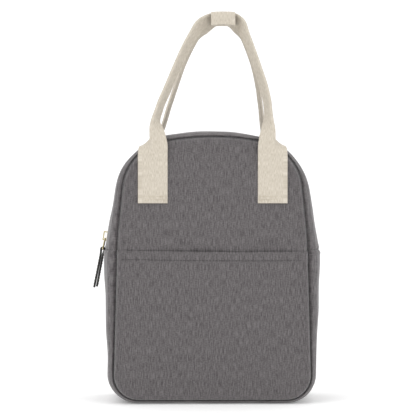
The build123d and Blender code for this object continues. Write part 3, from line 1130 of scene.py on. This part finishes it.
@dataclass
class Handles:
    """Two cotton webbing handles, folded in two lengthwise above the bag, and sewn on by flat tabs."""

    form: BagForm
    finishes: Finishes
    width: float = 28.5
    thick: float = 1.5
    cord: float = 1.5
    rows: int = 178
    foot: float = float(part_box("front_handle_tabs")[0][2] / MM) + 2.0
    fold_angle: float = 174.0
    layers_out: float = 2.4
    wrapping: tuple[float, float] = (352.0, 377.0)
    crease: float = 0.06
    tab_top: float = 240.0
    stitch_rows: tuple[float, float] = (3.4, 6.6)
    stitch_pitch: float = 2.75
    squeeze: float = 0.22
    wrap_x: float = float((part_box("wrap_flap")[0][0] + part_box("wrap_flap")[1][0]) / 2 / MM)

    def shapes(self) -> list[HandleShape]:
        """The front handle, which faces half forward, and the back one, turned edge-on."""
        low, high = self.tab_top, 257.0
        middle = self.wrap_x
        front_left = (
            (-57.2, 58.3, 247), (-59.2, 58.5, 258), (-59.2, 57.5, 270), (-54.7, 49.5, 288),
            (-47.3, 41.5, 306), (-39.6, 33.0, 325), (-31.9, 25.0, 343), (-22.4, 16.5, 361),
            (-11.6, 11.0, 373.5), (-1.5, 9.4, 378.4), (middle, 9.2, 378.4),
        )
        front_right = (
            (57.6, 58.3, 247), (59.2, 58.5, 258), (58.6, 57.5, 270), (58.2, 49.5, 288),
            (55.0, 41.5, 306), (49.4, 33.0, 325), (43.7, 25.0, 343), (37.3, 16.5, 361),
            (30.6, 11.0, 373.5), (24.6, 9.4, 378.2), (middle, 9.2, 378.4),
        )
        back_left = (
            (-57.2, 56.4, 247), (-54.0, 53.6, 258), (-49.8, 48.5, 268), (-42.2, 35.5, 291),
            (-34.7, 26.0, 313), (-28.2, 19.0, 331), (-20.2, 12.0, 348), (-11.2, 6.0, 363),
            (-3.5, 2.4, 373.6), (3.5, 1.4, 377.0), (middle, 1.2, 377.6),
        )
        back_right = (
            (57.6, 56.4, 247), (56.6, 53.6, 258), (54.4, 48.5, 268), (51.1, 35.5, 291),
            (47.5, 26.0, 313), (43.0, 19.0, 331), (36.7, 12.0, 348), (29.7, 6.0, 363),
            (24.2, 2.4, 372.6), (18.6, 1.4, 377.0), (middle, 1.2, 377.6),
        )
        return [
            HandleShape(
                Side.FRONT, (Leg(front_left, 1), Leg(front_right, -1)),
                (237.0, 271.0), (247.0, 284.0), 69.0, 48.0,
                Motion("front_flap", "front_handle", low, high), "front_handle_tabs", "front_handle_loop",
            ),
            HandleShape(
                Side.BACK, (Leg(back_left, 1), Leg(back_right, -1)),
                (234.0, 254.0), (240.0, 264.0), -92.0, -46.0,
                Motion("bag_body", "back_handle", low, high), "back_handle_tabs", "back_handle_loop",
            ),
        ]

    def section(self, fold: Array, squeeze: Array) -> Array:
        """The webbing's closed section at each row.

        Its middle line starts as a straight strip. The outer half turns back under the inner one by the
        fold's angle, over a short stretch at the middle, so the line is the running sum of the direction
        whose angle is minus the fold times (1 less the hyperbolic tangent) over 2. The two faces lie half
        a thickness to each side, with a ridge for each cord along the length.

        Args:
            fold: (n,) fold angles in radians.
            squeeze: (n,) scale of the folded section, less than 1 inside the wrap.

        Returns:
            (n, m, 2) sections: towards the inner edge, and back towards the bag.
        """
        count = 133
        u = np.linspace(-1, 1, count)
        angle = -fold[:, None] * (1 - np.tanh(u / self.crease)) / 2
        step = (u[1] - u[0]) * self.width / 2
        line = np.cumsum(np.stack([np.cos(angle), np.sin(angle)], axis=-1), axis=1) * step
        line = line - line[:, count // 2 : count // 2 + 1]
        normal = np.stack([-np.sin(angle), np.cos(angle)], axis=-1)
        cords = 0.10 * np.cos(2 * math.pi * u * self.width / 2 / self.cord)
        selvedge = 0.18 * ridge(np.abs(u), 0.955, 0.04) - 0.5 * ridge(np.abs(u), 1.0, 0.012)
        half = (self.thick / 2 + cords + selvedge)[None, :, None]
        ring = np.concatenate([line + normal * half, (line - normal * half)[:, ::-1]], axis=1)
        ring = np.concatenate([ring, ring[:, :1]], axis=1)
        return ring * squeeze[:, None, None]

    def leg(self, shape: HandleShape, leg: Leg) -> Patch:
        """One leg: the section carried up from the tab's foot, folding in, turning, and into the wrap."""
        sign = shape.side.value
        tab_x = leg.route[0][0]
        climb = np.linspace(self.foot, self.tab_top, 6)
        face = np.abs(self.form.front_face(np.full_like(climb, tab_x), climb, shape.side))
        face = face + self.thick / 2 + 0.1 + 1.1 * smooth(climb, 220, 238)
        tab = [(tab_x, float(y), float(z)) for y, z in zip(face, climb)]
        knots = np.array(tab + list(leg.route))
        knots[:, 1] *= sign
        path, along = curve(knots, self.rows)
        height = path[:, 2]
        inner = np.stack([along[:, 2] * leg.inner, 0 * height, -along[:, 0] * leg.inner], axis=-1)
        inner = unit(inner)
        back = unit(np.cross(along, inner))
        back = back * np.where(back[:, 1:2] * sign > 0, -1, 1)
        fold = math.radians(self.fold_angle) * smooth(height, *shape.fold)
        turn = np.radians(shape.turn * smooth(height, *shape.turning))
        turn = turn + np.radians(shape.turn_at_wrap - shape.turn) * smooth(height, *self.wrapping)
        if shape.side is Side.FRONT:
            shift = self.layers_out * (smooth(height, 262, 285) - smooth(height, 356, 374))
            path = path + inner * shift[:, None]
        near_wrap = smooth(-np.abs(path[:, 0] - self.wrap_x), -24, -11)
        cos, sin = np.cos(turn)[:, None], np.sin(turn)[:, None]
        side, rise = cos * inner + sin * back, cos * back - sin * inner
        patch = sweep(path, side, rise, self.section(fold, 1 - self.squeeze * near_wrap))
        patch.flat[..., 0] = np.minimum(patch.flat[..., 0], 2 * self.width)
        return patch

    def build_stitches(self, shape: HandleShape) -> None:
        """Two rows of stitches across the foot of each tab."""
        rows = []
        for leg in shape.legs:
            for row in self.stitch_rows:
                height = self.foot + row
                x = leg.route[0][0] + np.arange(-12.4, 12.5, self.stitch_pitch)
                y = self.form.front_face(x, np.full_like(x, height), shape.side)
                out = shape.side.value * (self.thick + 0.2)
                places = np.stack([x, y + out, np.full_like(x, height)], axis=-1)
                frames = np.broadcast_to(np.diag([1.0, -float(shape.side.value), 1.0]), (len(x), 3, 3))
                rows += repeated(stitch(2.1, 0.55), places, frames)
        word = shape.side.name.lower()
        piece = make_piece(f"{word}_tab_stitches", rows, self.finishes["cotton_thread"])
        body = Motion("front_flap") if shape.side is Side.FRONT else FIXED
        settle(piece, body, [f"{word}_handle_stitches"])

    def build(self) -> None:
        """Both handles, with a leg each side that meets the other inside the wrap."""
        for shape in self.shapes():
            patches = [self.leg(shape, leg) for leg in shape.legs]
            name = f"{shape.side.name.lower()}_handle_webbing"
            piece = make_piece(name, patches, self.finishes["cotton_webbing"])
            settle(piece, shape.motion, [shape.tabs, shape.loop])
            self.build_stitches(shape)


@dataclass
class Wrap:
    """The short webbing band that holds both handles together, closed by hook-and-loop, in mm."""

    finishes: Finishes
    wall: float = 1.4
    cord: float = 1.5
    inside: tuple[float, float, float] = (11.3, 0.0, 375.0)
    top: tuple[float, float] = (376.0, 381.0)
    free_edge: float = 7.0

    def band(self, name: str, profile: Profile, dome: float, arch_low: float) -> Piece:
        """A band round the handles: a profile in YZ carried along X.

        Its top is higher in the middle by dome, its free edge by arch_low, and cords run round it.

        Args:
            name: the piece's name.
            profile: (y, z) points in order, ending at the free edge.
            dome: rise of the top in the middle.
            arch_low: rise of the free edge in the middle.

        Returns:
            The piece, without its motion.
        """
        low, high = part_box("wrap_flap")
        x0, x1 = low[0] / MM, high[0] / MM
        knots = np.array([(0.0, y, z) for y, z in profile])
        path, _ = curve(knots, 80)
        x = np.linspace(x0, x1, 129)
        across = (x - (x0 + x1) / 2) / ((x1 - x0) / 2)
        run = run_of(path)
        tangent = unit(np.gradient(path, axis=0))
        out = np.stack([0 * run, -tangent[:, 2], tangent[:, 1]], axis=-1)
        cords = 0.12 * np.cos(2 * math.pi * x / self.cord) - 0.3 * ridge(np.abs(across), 1.0, 0.02)
        points = np.repeat(path[None], len(x), axis=0)
        points[..., 0] = x[:, None]
        points = points + cords[:, None, None] * out * np.sign((out * (path - path.mean(0))).sum())
        bow = (1 - across**2)[:, None]
        top = smooth(path[:, 2], *self.top)
        end = smooth(run, run[-1] - self.free_edge, run[-1]) * (path[:, 2] < self.top[0] - 2)
        points[..., 2] += bow * (dome * top + arch_low * end)
        flat = np.stack(np.meshgrid(x, run, indexing="ij"), axis=-1)
        webbing = self.finishes["cotton_webbing"]
        piece = make_piece(name, [Patch(points, flat)], webbing, self.inside, self.wall)
        return piece

    def build(self) -> None:
        """The band under the handles, the flap over them, and a patch of pile on each."""
        base = [
            (10.6, 381.0), (11.2, 377.0), (11.1, 371.0), (9.6, 368.9), (5.0, 368.3),
            (-5.0, 368.3), (-9.6, 368.9), (-10.9, 370.6), (-11.0, 374.0), (-11.0, 376.4),
        ]
        flap = [
            (11.4, 380.0), (10.2, 380.6), (6.0, 380.5), (-6.0, 380.5), (-11.6, 380.2),
            (-14.6, 378.8), (-15.2, 376.5), (-15.2, 371.0), (-15.0, 366.4),
        ]
        under = self.band("wrap_band", base, 0.6, 0.0)
        settle(under, Motion("back_handle"), ["wrap_base"])
        over = self.band("wrap_flap_webbing", flap, 0.6, 1.6)
        settle(over, Motion("wrap_flap"), ["wrap_flap"])
        patches = (
            ("wrap_pile", "back_handle", "wrap_loop_patch", -11.9),
            ("wrap_hooks", "wrap_flap", "wrap_hook_patch", -13.1),
        )
        for name, body, node, y in patches:
            low, high = (np.array(c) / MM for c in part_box(node))
            middle_x, _, middle_z = (low + high) / 2
            path = np.array([[middle_x, y - 0.5, middle_z], [middle_x, y + 0.5, middle_z]])
            section = round_section(high[0] - low[0], high[2] - low[2], 1.2)
            patch = sweep(path, all_along(X_WAY, path), all_along(Z_WAY, path), section)
            piece = make_piece(name, [patch], self.finishes["hook_and_loop"])
            settle(piece, Motion(body), [node])


# ---- the studio -------------------------------------------------------------------------------------


@dataclass
class Studio:
    """A pale sweep of floor, soft light, and the camera, in metres and degrees."""

    distance: float = 1.78
    height: float = 0.188
    azimuth: float = -1.0
    aim_x: float = -0.0034
    focal_length: float = 156.0
    floor_half: float = 4.0
    curve_start: float = 1.6
    curve_radius: float = 0.8
    wall: float = 2.2
    lit_point: tuple[float, float, float] = (0.0, 0.0, 0.18)

    def build_floor(self) -> None:
        """A white floor that curves up behind: flat, a quarter circle, then a wall."""
        radius, turn = self.curve_radius, np.linspace(0, math.pi / 2, 16)
        y = np.concatenate(
            [[-self.floor_half], self.curve_start + radius * np.sin(turn), [self.curve_start + radius]]
        )
        z = np.concatenate([[0.0], radius * (1 - np.cos(turn)), [self.wall + radius]])
        x = np.array([-self.floor_half, self.floor_half])
        across, back = np.meshgrid(x, y, indexing="ij")
        points = np.stack([across, back, np.broadcast_to(z, across.shape)], axis=-1)
        paper = bpy.data.materials.new("studio_paper")
        paper.use_nodes = True
        look = paper.node_tree.nodes["Principled BSDF"].inputs
        look["Base Color"].default_value = linear("#fbfbfb")
        look["Roughness"].default_value = 0.9
        look["Emission Color"].default_value = linear("#ffffff")
        look["Emission Strength"].default_value = 0.16
        patch = Patch(points / MM, points[..., :2])
        floor = make_piece("studio_floor", [patch], paper, (0.0, -3000.0, 3000.0))
        floor.data.flip_normals()

    def build_lights(self) -> None:
        """A large soft light each side of the camera, one overhead, and an even white surround."""
        lights = (
            ("key", (-1.3, -1.7, 1.7), 14.5, 1.6),
            ("fill", (1.6, -1.7, 1.0), 9.5, 1.8),
            ("top", (0.0, 0.2, 2.2), 12.0, 2.0),
        )
        for name, place, power, size in lights:
            lamp = bpy.data.lights.new(name, "AREA")
            lamp.energy, lamp.size, lamp.shape = power, size, "DISK"
            holder = bpy.data.objects.new(name, lamp)
            bpy.context.scene.collection.objects.link(holder)
            holder.location = place
            aim = Vector(self.lit_point) - holder.location
            holder.rotation_euler = aim.to_track_quat("-Z", "Y").to_euler()
        world = bpy.context.scene.world or bpy.data.worlds.new("studio")
        bpy.context.scene.world = world
        world.use_nodes = True
        world.node_tree.nodes["Background"].inputs["Color"].default_value = linear("#ffffff")
        world.node_tree.nodes["Background"].inputs["Strength"].default_value = 0.71
        bpy.context.scene.view_settings.view_transform = "Standard"

    def build_camera(self) -> None:
        """A long lens, level with the middle of the bag."""
        camera = bpy.data.cameras.new("camera")
        camera.lens, camera.sensor_width = self.focal_length, 36.0
        camera.clip_start, camera.clip_end = 0.1, 20.0
        holder = bpy.data.objects.new("camera", camera)
        bpy.context.scene.collection.objects.link(holder)
        turn = math.radians(self.azimuth)
        holder.location = (
            self.aim_x + self.distance * math.sin(turn),
            -self.distance * math.cos(turn),
            self.height,
        )
        holder.rotation_euler = (math.pi / 2, 0.0, turn)
        bpy.context.scene.camera = holder

    def build(self) -> None:
        """Floor, lights and camera."""
        self.build_floor()
        self.build_lights()
        self.build_camera()


def main() -> None:
    """Builds the bag piece by piece, then the studio."""
    finishes = Finishes()
    form = BagForm()
    body = SoftBody(form, finishes)
    body.build_panels()
    body.build_gussets()
    body.build_bindings()
    FrontPocket(form, finishes).build()
    Zip(form, finishes).build()
    Handles(form, finishes).build()
    Wrap(finishes).build()
    Studio().build()


if __name__ == "__main__":
    main()
